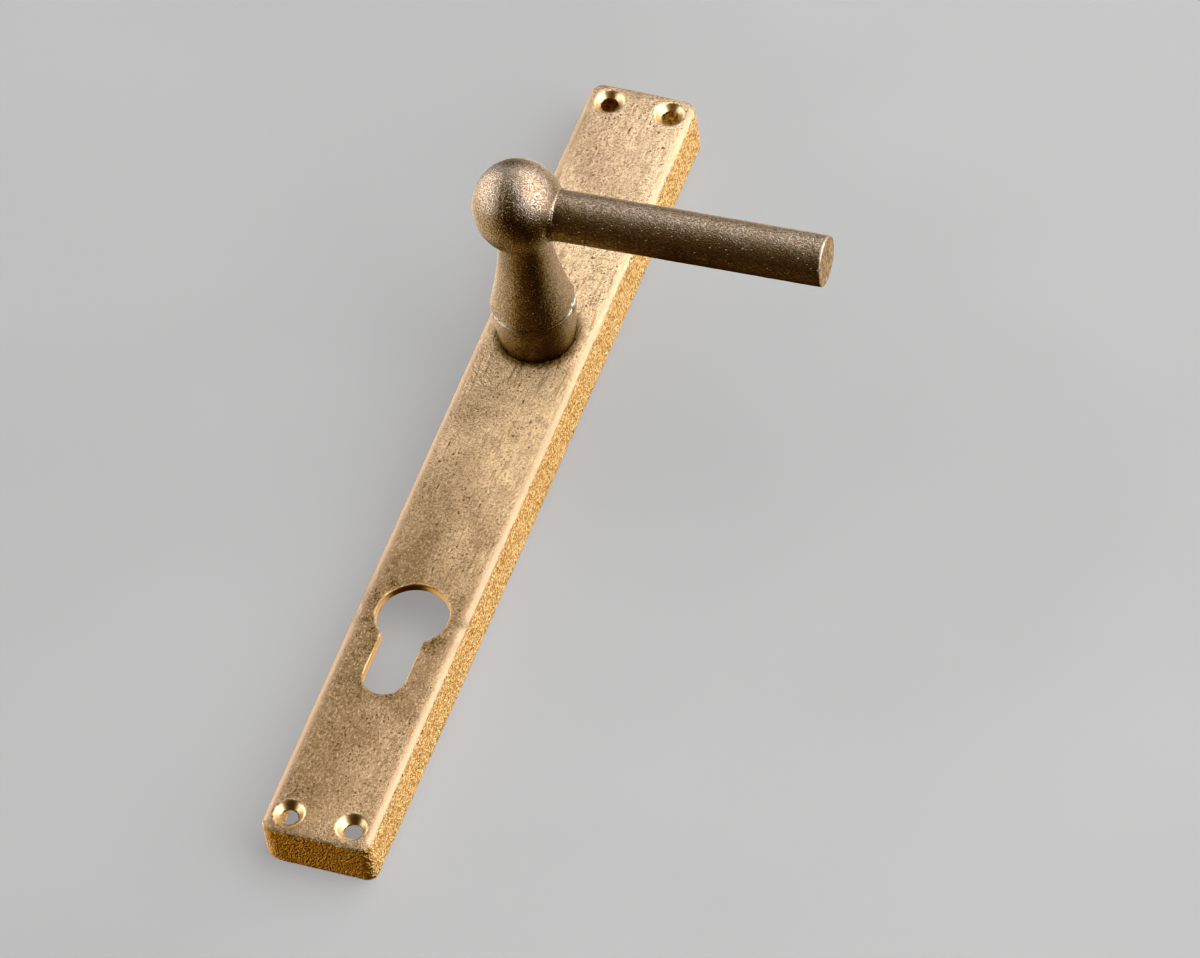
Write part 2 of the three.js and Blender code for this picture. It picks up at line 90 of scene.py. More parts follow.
# What hangs from the inside of the face round the spindle: a boss, and posts for the cover's screws,
# the driver's stops and the spring's end. Places are from the spindle, and a foot is the height of its
# lowest point.
BOSS_RADIUS = 11.4
BOSS_FOOT = 8.9
SPIGOT_HOLE = 9.1
COVER_POST_OFFSET = 19.5
COVER_POST_RADIUS = 3.0
COVER_POST_FOOT = 2.3
STOP_PLACES = ((-4.87, 11.98), (10.81, 7.10))
STOP_RADIUS = 1.5
STOP_FOOT = 3.4
SPRING_POST_PLACE = (-2.15, -13.0)
SPRING_POST_RADIUS = 1.4
SPRING_POST_FOOT = 5.0

# How far cast surfaces run into each other, and how far cut edges are broken.
POCKET_FILLET = 0.5
POST_FILLET = 0.6
BALL_FILLET = 1.0
BEAD_FILLET = 0.4
GRUB_HOLE_EDGE = 0.2
BROKEN_EDGE = 0.45

COLLAR_BORE = 7.9
SPIGOT_RADIUS = 8.8
SPIGOT_END = 8.6
COLLAR_FOOT = FACE + 0.08
COLLAR_FOOT_RADIUS = 9.5
COLLAR_SWELL = 1.35
COLLAR_SWEEP = 1.6
COLLAR_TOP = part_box("neck_collar")[1].z / MM

NECK_FOOT = COLLAR_TOP + 0.08
NECK_FOOT_RADIUS = 10.72
NECK_FOOT_EASE = 0.12
NECK_FOOT_EASE_HEIGHT = 0.5
NECK_TOP = FACE + 36.5
NECK_TOP_RADIUS = 6.75
NECK_SWEEP = 1.5
NECK_LEAN = 0.95
BALL_RADIUS = 11.6
BALL_HALF_HEIGHT = 12.6
BALL_Z = FACE + 49.9
SHANK_RADIUS = 6.6
SHANK_END = 0.6
SOCKET_HALF = 4.05
SOCKET_TOP = 34
GRUB_HOLE_RADIUS = 2.7
GRUB_HOLE_Z = FACE + 17.5

# The grip, from its hidden end in the ball to its free end, both measured from the spindle's axis.
GRIP_RADIUS = 6.55
GRIP_Z = FACE + 49.1
GRIP_START = 7.0
GRIP_REACH = 79.3
GRIP_RIM_LENGTH = 0.6
GRIP_RIM_DEPTH = 0.4
BEAD_RADIUS = GRIP_RADIUS + 0.15
BEAD_MIDDLE = 6
BEAD_HALF = 4.6

PLATE_CELL = 0.54
LEVER_CELL = 0.42
GRIP_CELL = 0.4
COLLAR_CELL = 0.45
GRIP_SIDES = 110
COLLAR_SIDES = 150

# How deep the cast surfaces' sandy grain and slow waves are.
SAND_DEPTH = 0.13
FACE_WAVE = 0.07
GRAIN_DEPTH = 0.06
NECK_WAVE = 0.05
GRIP_WAVE = 0.10
NICK_DEPTH = 0.5

# Where the seam's wear and painted highlight, the nick and the collar's painted shade lie, and how
# wide they spread, in degrees round the spindle's axis from the grip.
SEAM_BRIGHT_AT = (-108, 0, 120)
SEAM_BRIGHT_SPREAD = 22
NICK_AT = 2
NICK_SPREAD = 3.5
COLLAR_SHADE_AT = -50
COLLAR_SHADE_SPREAD = 38

# The painted shade under the ball, by height.
NECK_SHADE_Z = FACE + 36
NECK_SHADE_SPREAD = 8


# ---- Distance fields: negative inside, in millimetres ----

def smooth_union(a, b, width):
    """Both solids, with a fillet of about that width where they meet."""
    h = np.clip(0.5 + 0.5 * (b - a) / width, 0, 1)
    return b + (a - b) * h - width * h * (1 - h)


def smooth_cut(a, b, width):
    """What is in a and not in b, with the edge between them eased over width."""
    return -smooth_union(-a, b, width)


def disc(x, y, radius):
    return np.hypot(x, y) - radius


def rounded_rectangle(x, y, half_x, half_y, radius):
    qx = np.abs(x) - (half_x - radius)
    qy = np.abs(y) - (half_y - radius)
    outside = np.hypot(np.maximum(qx, 0), np.maximum(qy, 0))
    return outside + np.minimum(np.maximum(qx, qy), 0) - radius


def ellipsoid(x, y, z, radius, half_height):
    length = np.sqrt((x * x + y * y) / radius**2 + z * z / half_height**2)
    slope = np.sqrt((x * x + y * y) / radius**4 + z * z / half_height**4)
    return length * (length - 1) / np.maximum(slope, 1e-9)


def capped(side, top, width, depth):
    """The solid under a cap. Its side and top are the distances to its wall and its cap, and the edge
    where they meet is rounded over that width of the cap and that depth of the wall."""
    a = (side + width) * depth / width
    b = top + depth
    outside = np.hypot(np.maximum(a, 0), np.maximum(b, 0))
    return outside + np.minimum(np.maximum(a, b), 0) - depth


def plate_half_sizes(z):
    share = np.clip(1 - z / FACE, 0, 1)
    half_x = PLATE_HIGH[0] - SIDE_FLARE + SIDE_FLARE * share
    half_y = PLATE_HIGH[1] - END_FLARE + END_FLARE * share
    return half_x, half_y


def corner_radius(x, y, z):
    """The outline's radius at the nearest corner and at that height."""
    share = np.clip(1 - z / FACE, 0, 1)

    def radius(radii):
        at_face, at_base = radii
        return at_face + (at_base - at_face) * share

    near = np.where(x < 0, radius(NEAR_LEFT_RADII), radius(NEAR_RIGHT_RADII))
    far = np.where(x < 0, radius(FAR_LEFT_RADII), radius(FAR_RIGHT_RADII))
    return np.where(y < 0, near, far)


def plate_blank(p):
    x, y, z = p.T
    half_x, half_y = plate_half_sizes(z)
    side = rounded_rectangle(x, y, half_x, half_y, corner_radius(x, y, z))
    face = FACE - CROWN * (x / half_x) ** 2
    body = capped(side, z - face, EDGE_WIDTH, EDGE_DEPTH)
    return np.maximum(body, -z)


def plate_pockets(p):
    """The hollows in the back, between the cross ribs and the end walls."""
    x, y, z = p.T
    half_x, _ = plate_half_sizes(z)
    inner_end = PLATE_HIGH[1] - END_FLARE - RIM_WALL
    starts = [-inner_end] + [centre + RIB_HALF for centre in RIB_CENTRES]
    ends = [centre - RIB_HALF for centre in RIB_CENTRES] + [inner_end]
    found = np.full(len(p), 1e3)
    for start, end in zip(starts, ends):
        middle = (start + end) / 2
        wall = rounded_rectangle(x, y - middle, half_x - RIM_WALL, (end - start) / 2, POCKET_CORNER)
        pocket = capped(wall, z - (FACE - FACE_WALL), POCKET_EDGE, POCKET_EDGE)
        found = np.minimum(found, pocket)
    return found


def cylinder_opening(x, y):
    """The keyhole outline of a euro-profile cylinder."""
    y = y - CYLINDER_Y
    slot_centre = -SLOT_LOW_POINT + SLOT_HALF
    round_part = disc(x, y, OPENING_RADIUS)
    slot_y = y - np.clip(y, slot_centre, 0)
    slot = disc(x, slot_y, SLOT_HALF)
    return np.minimum(round_part, slot)


def screw_hole(p, place):
    radial = disc(p[:, 0] - place[0], p[:, 1] - place[1], 0)
    depth = FACE - p[:, 2]
    cone = (radial - COUNTERSINK + depth) * math.sqrt(0.5)
    return np.minimum(radial - SCREW_HOLE, cone)


def hanging_posts():
    """The place from the spindle, the radius and the foot of each thing that hangs inside the plate."""
    posts = [((0, 0), BOSS_RADIUS, BOSS_FOOT)]
    for offset in (COVER_POST_OFFSET, -COVER_POST_OFFSET):
        posts.append(((0, offset), COVER_POST_RADIUS, COVER_POST_FOOT))
    for place in STOP_PLACES:
        posts.append((place, STOP_RADIUS, STOP_FOOT))
    posts.append((SPRING_POST_PLACE, SPRING_POST_RADIUS, SPRING_POST_FOOT))
    return posts


def plate_field(p):
    x, y, z = p.T
    field = smooth_cut(plate_blank(p), plate_pockets(p), POCKET_FILLET)
    root = FACE - FACE_WALL / 2
    for (post_x, post_y), radius, foot in hanging_posts():
        side = disc(x - post_x, y - SPINDLE_Y - post_y, radius)
        post = np.maximum(np.maximum(side, foot - z), z - root)
        field = smooth_union(field, post, POST_FILLET)
    field = np.maximum(field, -disc(x, y - SPINDLE_Y, SPIGOT_HOLE))
    field = smooth_cut(field, cylinder_opening(x, y), BROKEN_EDGE)
    for place in SCREW_PLACES:
        field = smooth_cut(field, screw_hole(p, place), BROKEN_EDGE)
    return field


def lever_field(p):
    """The ball, neck and shank round the spindle's axis, with the bead that the grip comes out of."""
    x, y, z = p.T
    from_axis = np.hypot(x, y)
    share = np.clip((z - NECK_FOOT) / (NECK_TOP - NECK_FOOT), 0, 1)
    neck_radius = NECK_TOP_RADIUS + (NECK_FOOT_RADIUS - NECK_TOP_RADIUS) * (1 - share) ** NECK_SWEEP
    above_foot = np.clip((z - NECK_FOOT) / NECK_FOOT_EASE_HEIGHT, 0, 1)
    neck_radius = neck_radius - NECK_FOOT_EASE * (1 - above_foot) ** 2
    neck = np.maximum((from_axis - neck_radius) * NECK_LEAN, np.maximum(NECK_FOOT - z, z - BALL_Z))
    shank = np.maximum(from_axis - SHANK_RADIUS, np.maximum(SHANK_END - z, z - BALL_Z))
    ball = ellipsoid(x, y, z - BALL_Z, BALL_RADIUS, BALL_HALF_HEIGHT)
    field = smooth_union(neck, ball, BALL_FILLET)
    field = np.minimum(field, shank)
    bead = np.maximum(disc(y, z - GRIP_Z, BEAD_RADIUS), np.abs(x - BEAD_MIDDLE) - BEAD_HALF)
    field = smooth_union(field, bead, BEAD_FILLET)
    socket = np.maximum(np.maximum(np.abs(x), np.abs(y)) - SOCKET_HALF, z - SOCKET_TOP)
    field = np.maximum(field, -socket)
    grub_hole = np.maximum(disc(x, z - GRUB_HOLE_Z, GRUB_HOLE_RADIUS), -y)
    return smooth_cut(field, grub_hole, GRUB_HOLE_EDGE)


# ---- Meshes ----

def gradient(field, points, reach=0.04):
    slopes = []
    for axis in range(3):
        step = np.zeros(3)
        step[axis] = reach
        slopes.append((field(points + step) - field(points - step)) / (2 * reach))
    return np.stack(slopes, axis=1)


def field_normals(field, points):
    slope = gradient(field, points)
    return slope / np.linalg.norm(slope, axis=1)[:, None]


def axis_steps(axis):
    """One grid step along that axis, and one along each of the other two."""
    steps = np.eye(3, dtype=int)
    return steps[axis], steps[(axis + 1) % 3], steps[(axis + 2) % 3]


def crossed_cells(inside):
    """The places of the grid cells that the surface passes through, and a grid of their numbers."""
    i, j, k = np.array(inside.shape) - 1
    corners = [(u, v, w) for u in (0, 1) for v in (0, 1) for w in (0, 1)]
    full = sum(inside[u:i + u, v:j + v, w:k + w].astype(np.int8) for u, v, w in corners)
    crossed = (full > 0) & (full < 8)
    numbers = np.full(crossed.shape, -1)
    numbers[crossed] = np.arange(crossed.sum())
    return np.argwhere(crossed), numbers


def mean_crossings(values, cells):
    """The mean place, in grid steps, at which the surface crosses each cell's edges."""
    total = np.zeros((len(cells), 3))
    hits = np.zeros(len(cells))
    for axis in range(3):
        along, other_u, other_v = axis_steps(axis)
        for u, v in ((0, 0), (0, 1), (1, 0), (1, 1)):
            start = cells + u * other_u + v * other_v
            a = values[tuple(start.T)]
            b = values[tuple((start + along).T)]
            crossed = (a < 0) != (b < 0)
            share = a[crossed] / (a[crossed] - b[crossed])
            total[crossed] += start[crossed] + share[:, None] * along
            hits[crossed] += 1
    return total / hits[:, None]


def edge_quads(inside, numbers):
    """A quad round each grid edge that the surface crosses, facing out of the solid."""
    quads = []
    for axis in range(3):
        _, b, c = axis_steps(axis)
        starts = np.argwhere(np.diff(inside.astype(np.int8), axis=axis) != 0)
        starts = starts[(starts @ b > 0) & (starts @ c > 0)]
        leaves = inside[tuple(starts.T)]
        quad = np.stack([numbers[tuple((starts - d).T)] for d in (b + c, c, 0 * b, b)], axis=1)
        quad[~leaves] = quad[~leaves][:, ::-1]
        quads.append(quad)
    return np.concatenate(quads)


def surface_net(field, low, high, cell):
    """Vertices and quads of the field's zero surface, one vertex in each grid cell that it crosses."""
    low = np.array(low, float) - 1.5 * cell
    counts = np.ceil((np.array(high) - low) / cell).astype(int) + 3
    axes = [low[axis] + cell * np.arange(counts[axis]) for axis in range(3)]
    grid = np.stack(np.meshgrid(*axes, indexing="ij"), axis=-1)
    values = field(grid.reshape(-1, 3)).reshape(counts)
    inside = values < 0
    cells, numbers = crossed_cells(inside)
    vertices = low + cell * mean_crossings(values, cells)
    for _ in range(3):
        slope = gradient(field, vertices)
        share = field(vertices) / np.maximum((slope**2).sum(axis=1), 0.05)
        vertices = vertices - np.clip(share[:, None] * slope, -cell / 2, cell / 2)
    return vertices, edge_quads(inside, numbers)


def turned_points(profile, sides):
    """The points of a profile of (radius, height) turned about Z, one ring after another."""
    angles = 2 * np.pi * np.arange(sides) / sides
    return [(r * math.cos(a), r * math.sin(a), z) for r, z in profile for a in angles]


def band(lower, upper, sides):
    """The quads between two rings, given the number of each ring's first vertex."""
    following = [(i + 1) % sides for i in range(sides)]
    return [(lower + i, lower + j, upper + j, upper + i) for i, j in enumerate(following)]


def lathe_grid(profile, sides):
    """Vertices and faces of a profile of (radius, height) that starts and ends on the axis Z."""
    rings = profile[1:-1]
    vertices = [(0, 0, profile[0][1])] + turned_points(rings, sides) + [(0, 0, profile[-1][1])]
    bottom = 0
    top = len(vertices) - 1
    last_ring = top - sides
    faces = []
    for i in range(sides):
        j = (i + 1) % sides
        faces.append((bottom, 1 + j, 1 + i))
        faces.append((top, last_ring + i, last_ring + j))
    for first in range(1, last_ring, sides):
        faces += band(first, first + sides, sides)
    return np.array(vertices), faces


def ring_grid(profile, sides):
    """Vertices and quads of a closed profile of (radius, height) turned about Z."""
    vertices = turned_points(profile, sides)
    faces = []
    for first in range(0, len(vertices), sides):
        faces += band(first, (first + sides) % len(vertices), sides)
    return np.array(vertices), faces


def refined(points, step):
    """The points of a polyline with more put in, so that none are further apart than step."""
    found = [points[0]]
    for a, b in zip(points, points[1:]):
        count = max(1, math.ceil(math.dist(a, b) / step))
        across = np.array(b) - np.array(a)
        found += [tuple(np.array(a) + across * k / count) for k in range(1, count + 1)]
    return found


def fractal(points, size, octaves, seed):
    """Layered noise from about -1 to 1, with features of that size in millimetres."""
    shifted = points / size + seed
    return np.array([noise.fractal(p, 1.0, 2.0, octaves) for p in shifted.tolist()])


def uneven(points, size, octaves, seed):
    """The same noise from about 0 to 1."""
    return 0.5 + 0.5 * fractal(points, size, octaves, seed)


def step_between(values, low, high):
    """A smooth step from 0 at low to 1 at high."""
    t = np.clip((values - low) / (high - low), 0, 1)
    return t * t * (3 - 2 * t)


def degrees_round(points):
    """Each point's angle round the axis Z from +X, in degrees."""
    return np.degrees(np.arctan2(points[:, 1], points[:, 0]))


def mesh_object(name, vertices, faces, attributes):
    """A smooth-shaded object from millimetre vertices, with one float attribute for each named array."""
    mesh = bpy.data.meshes.new(name)
    mesh.from_pydata((vertices * MM).tolist(), [], [tuple(int(i) for i in face) for face in faces])
    for key, values in attributes.items():
        layer = mesh.attributes.new(key, "FLOAT", "POINT")
        layer.data.foreach_set("value", np.asarray(values, np.float32))
    mesh.polygons.foreach_set("use_smooth", [True] * len(mesh.polygons))
    mesh.update()
    made = bpy.data.objects.new(name, mesh)
    bpy.context.scene.collection.objects.link(made)
    return made


def set_normals(made, exact, share):
    """Shades a mesh by its own normals, and by the exact ones where share is 1."""
    mesh = made.data
    own = np.empty(len(mesh.vertices) * 3, np.float32)
    mesh.vertex_normals.foreach_get("vector", own)
    mixed = own.reshape(-1, 3) * (1 - share[:, None]) + exact * share[:, None]
    mesh.normals_split_custom_set_from_vertices(mixed.tolist())


# ---- Pieces ----

def make_plate():
    """The plate's casting, pressed in by its sandy grain, with marks for what was cut and rubbed, and for
    painted shade on the near end and round the collar's foot.
    """
    vertices, faces = surface_net(plate_field, PLATE_LOW, PLATE_HIGH, PLATE_CELL)
    normal = field_normals(plate_field, vertices)
    upward = normal[:, 2]
    x, y, _ = vertices.T
    from_end = PLATE_HIGH[1] - np.abs(y)
    outer = plate_blank(vertices) > -0.2
    opening = cylinder_opening(x, y)
    holes = np.min([screw_hole(vertices, place) for place in SCREW_PLACES], axis=0)
    from_collar = disc(x, y - SPINDLE_Y, COLLAR_FOOT_RADIUS)

    machined = 1 - step_between(holes, 0.05, 0.3)
    filed = 1 - step_between(opening, 0.05, 0.4)
    ragged = 0.25 * fractal(vertices, 2.5, 2, 7.0) * (from_end < 2.2)
    sides = 1 - step_between(upward + ragged, 0.42, 0.62)
    cast = np.where(outer, sides, 1.0) * (1 - machined)
    face = (1 - cast) * (1 - machined)
    edge = step_between(upward, 0.5, 0.7) * (1 - step_between(upward, 0.93, 0.998)) * outer
    edge = edge * np.where(from_end < 2.7, 0.35, 1.0)

    sand_depth = cast * (1 - filed) * SAND_DEPTH * uneven(vertices, 1.6, 3, 11.0)
    wave_depth = face * FACE_WAVE * uneven(vertices, 14.0, 2, 3.0)
    vertices = vertices - normal * (sand_depth + wave_depth)[:, None]
    vertices[:, 2] = np.maximum(vertices[:, 2], 0)

    # Painted shade on the near end face.
    near_end = step_between(-normal[:, 1], 0.5, 0.85) * (y < 0) * (from_end < 5.2)
    skin_patches = step_between(fractal(vertices, 5.0, 2, 17.0), -0.2, 0.35)
    rough_skin = (1 - step_between(opening, 2.0, 9.0)) * skin_patches
    # Painted shade in a ring on the face round the collar's foot.
    shade_edge = from_collar + 0.5 * fractal(vertices, 3.0, 2, 19.0)
    grime = 0.85 * (1 - step_between(shade_edge, 0.2, 3.2))
    marks = {
        "cast": cast * (1 - filed),
        "edge": edge,
        "machined": machined,
        "filed": filed,
        "near_end": near_end,
        "rough_skin": rough_skin * face,
        "grime": grime * face,
    }
    made = mesh_object("plate_casting", vertices, faces, marks)
    set_normals(made, normal, np.maximum(machined, filed))
    return made


def seam_wear_and_highlight(vertices):
    """How far the seam between the collar and the lever is rubbed bright, with a painted highlight on its
    lit flanks, by the angle round the axis.
    """
    angle = degrees_round(vertices)
    worn = sum(np.exp(-((angle - middle) / SEAM_BRIGHT_SPREAD) ** 2) for middle in SEAM_BRIGHT_AT)
    return step_between(worn + 0.7 * fractal(vertices, 1.8, 3, 35.0), 0.35, 1.2)


def nick(vertices, low, high):
    """The depth of the small upright nick across the seam, between those heights."""
    height = vertices[:, 2]
    inside = step_between(height, low, low + 0.5) * (1 - step_between(height, high - 0.5, high))
    return NICK_DEPTH * np.exp(-((degrees_round(vertices) - NICK_AT) / NICK_SPREAD) ** 2) * inside


def make_lever():
    reach = BALL_RADIUS + 0.4
    low = (-reach, -reach, SHANK_END)
    high = (reach, reach, BALL_Z + BALL_HALF_HEIGHT)
    vertices, faces = surface_net(lever_field, low, high, LEVER_CELL)
    normal = field_normals(lever_field, vertices)
    height = vertices[:, 2]
    above_seam = step_between(height, COLLAR_TOP - 0.5, COLLAR_TOP + 0.5)
    depth = GRAIN_DEPTH * uneven(vertices, 1.5, 3, 5.0) + NECK_WAVE * uneven(vertices, 9.0, 2, 8.0)
    depth = depth + nick(vertices, COLLAR_TOP - 1, COLLAR_TOP + 1.6)
    vertices = vertices - normal * (depth * above_seam)[:, None]
    height = vertices[:, 2]
    at_seam = (1 - step_between(height, COLLAR_TOP + 0.3, COLLAR_TOP + 0.9)) * above_seam
    # Painted shade on the neck just under the ball.
    under_ball = np.exp(-((height - NECK_SHADE_Z) / NECK_SHADE_SPREAD) ** 2)
    grime = under_ball * (0.35 + 0.12 * fractal(vertices, 4.0, 2, 39.0))
    marks = {"edge": seam_wear_and_highlight(vertices) * at_seam, "grime": grime}
    made = mesh_object("lever_casting", vertices, faces, marks)
    made.matrix_world = lever_matrix()
    return made


def lever_matrix():
    """From the lever's own axes, with the grip along X, to its place at rest."""
    to_spindle = Matrix.Translation(Vector((0, SPINDLE_Y * MM, 0)))
    return to_spindle @ Matrix.Rotation(REST_TILT, 4, "Z")


def grip_profile():
    rim_start = GRIP_REACH - GRIP_RIM_LENGTH
    end_radius = GRIP_RADIUS - GRIP_RIM_DEPTH
    profile = refined([(0, GRIP_START), (GRIP_RADIUS, GRIP_START)], 3.0)
    profile += refined([(GRIP_RADIUS, GRIP_START), (GRIP_RADIUS, rim_start)], GRIP_CELL)[1:]
    for step in range(1, 5):
        angle = step / 4 * math.pi / 2
        radius = end_radius + GRIP_RIM_DEPTH * math.cos(angle)
        profile.append((radius, rim_start + GRIP_RIM_LENGTH * math.sin(angle)))
    profile += refined([(end_radius, GRIP_REACH), (0, GRIP_REACH)], GRIP_CELL)[1:]
    return profile


def make_grip():
    vertices, faces = lathe_grid(grip_profile(), GRIP_SIDES)
    radial = np.hypot(vertices[:, 0], vertices[:, 1])
    at_end = step_between(vertices[:, 2], GRIP_REACH - 0.3, GRIP_REACH - 0.05)
    depth = GRAIN_DEPTH * uneven(vertices, 1.4, 3, 21.0) + GRIP_WAVE * uneven(vertices, 11.0, 2, 23.0)
    vertices[:, :2] *= (1 - depth * (1 - at_end) / np.maximum(radial, 1))[:, None]
    rim = step_between(vertices[:, 2], GRIP_REACH - 0.8, GRIP_REACH - 0.3)
    worn = 0.8 * step_between(fractal(vertices, 2.2, 3, 27.0), -0.45, 0.35)
    cut_end = step_between(vertices[:, 2], GRIP_REACH - 0.06, GRIP_REACH - 0.01)
    marks = {"edge": rim * worn * (1 - cut_end), "machined": cut_end}
    made = mesh_object("grip_casting", vertices, faces, marks)
    lay_along_x = Matrix.Rotation(math.pi / 2, 4, "Y")
    raised = Matrix.Translation(Vector((0, 0, GRIP_Z * MM)))
    made.matrix_world = lever_matrix() @ raised @ lay_along_x
    return made


def collar_profile():
    """Up the outside from the spigot in the plate to the rolled lip at the seam, then in to the bore."""
    widest = COLLAR_FOOT_RADIUS + COLLAR_SWELL
    side_height = COLLAR_TOP - 0.35 - COLLAR_FOOT
    profile = [
        (COLLAR_BORE, SPIGOT_END),
        (SPIGOT_RADIUS, SPIGOT_END),
        (SPIGOT_RADIUS, COLLAR_FOOT),
        (COLLAR_FOOT_RADIUS - 0.2, COLLAR_FOOT),
    ]
    for share in np.linspace(0, 1, 41):
        radius = COLLAR_FOOT_RADIUS + COLLAR_SWELL * (1 - (1 - share) ** COLLAR_SWEEP)
        profile.append((radius, COLLAR_FOOT + side_height * share))
    profile += [
        (widest - 0.01, COLLAR_TOP - 0.15),
        (widest - 0.11, COLLAR_TOP - 0.03),
        (widest - 0.3, COLLAR_TOP),
        (widest - 0.55, COLLAR_TOP - 0.02),
        (COLLAR_FOOT_RADIUS - 0.1, COLLAR_TOP - 0.05),
        (COLLAR_BORE, COLLAR_TOP - 0.05),
    ]
    return refined(profile + [profile[0]], COLLAR_CELL)[:-1]


def make_collar():
    vertices, faces = ring_grid(collar_profile(), COLLAR_SIDES)
    radial = np.hypot(vertices[:, 0], vertices[:, 1])
    depth = GRAIN_DEPTH * uneven(vertices, 1.5, 3, 31.0) + NECK_WAVE * uneven(vertices, 8.0, 2, 33.0)
    depth = depth + nick(vertices, COLLAR_TOP - 1.8, COLLAR_TOP + 1)
    vertices[:, :2] *= (1 - depth / radial * (radial > 9))[:, None]
    at_seam = step_between(vertices[:, 2], COLLAR_TOP - 0.9, COLLAR_TOP - 0.3) * (radial > 9.8)
    # Painted shade in a band down the collar's front, where it faces the camera, with some random variation.
    from_shade = (degrees_round(vertices) - COLLAR_SHADE_AT) / COLLAR_SHADE_SPREAD
    grime = 0.95 * np.exp(-from_shade**2) + 0.2 * fractal(vertices, 4.0, 2, 37.0)
    marks = {"edge": at_seam * seam_wear_and_highlight(vertices), "grime": np.clip(grime, 0, 1)}
    made = mesh_object("collar_casting", vertices, faces, marks)
    made.matrix_world = Matrix.Translation(Vector((0, SPINDLE_Y * MM, 0)))
    return made


# ---- Materials ----

def rgb(red, green, blue):
    return (red, green, blue, 1.0)


TARNISHED = rgb(0.22, 0.14, 0.07)
POLISHED_MIDDLE = rgb(0.66, 0.485, 0.285)
POLISHED_END = rgb(0.67, 0.51, 0.34)
BLOTCHED = rgb(0.20, 0.12, 0.055)
RUBBED_RIDGE = rgb(0.64, 0.49, 0.32)
STAINED_HOLLOW = rgb(0.13, 0.075, 0.03)
STAINED_SCRATCH = rgb(0.27, 0.175, 0.085)
SANDY_DARK = rgb(0.42, 0.215, 0.04)
SANDY_BRIGHT = rgb(0.93, 0.70, 0.37)
# Painted shade for the near end face.
NEAR_END_PAINTED_SHADE = rgb(0.50, 0.225, 0.035)
FRESHLY_FILED = rgb(0.62, 0.39, 0.15)
COUNTERSUNK = rgb(0.56, 0.40, 0.23)
WORN_EDGE = rgb(0.40, 0.29, 0.19)
PLATE_PIT = rgb(0.09, 0.045, 0.012)
# Painted shade round the collar's foot.
PLATE_PAINTED_SHADE = rgb(0.09, 0.05, 0.02)

DARK_PATCH = rgb(0.22, 0.14, 0.07)
# Bright wear at the grip's rim, and at the seam wear with a painted highlight on its lit flanks.
BRIGHT_SEAM = rgb(0.62, 0.58, 0.53)
DARK_PIT = rgb(0.05, 0.03, 0.015)
# Painted shade under the ball and down the collar's front.
PAINTED_SHADE_DARK = rgb(0.06, 0.035, 0.012)
SAWN_DARK = rgb(0.10, 0.05, 0.018)
SAWN_BRIGHT = rgb(0.50, 0.34, 0.19)


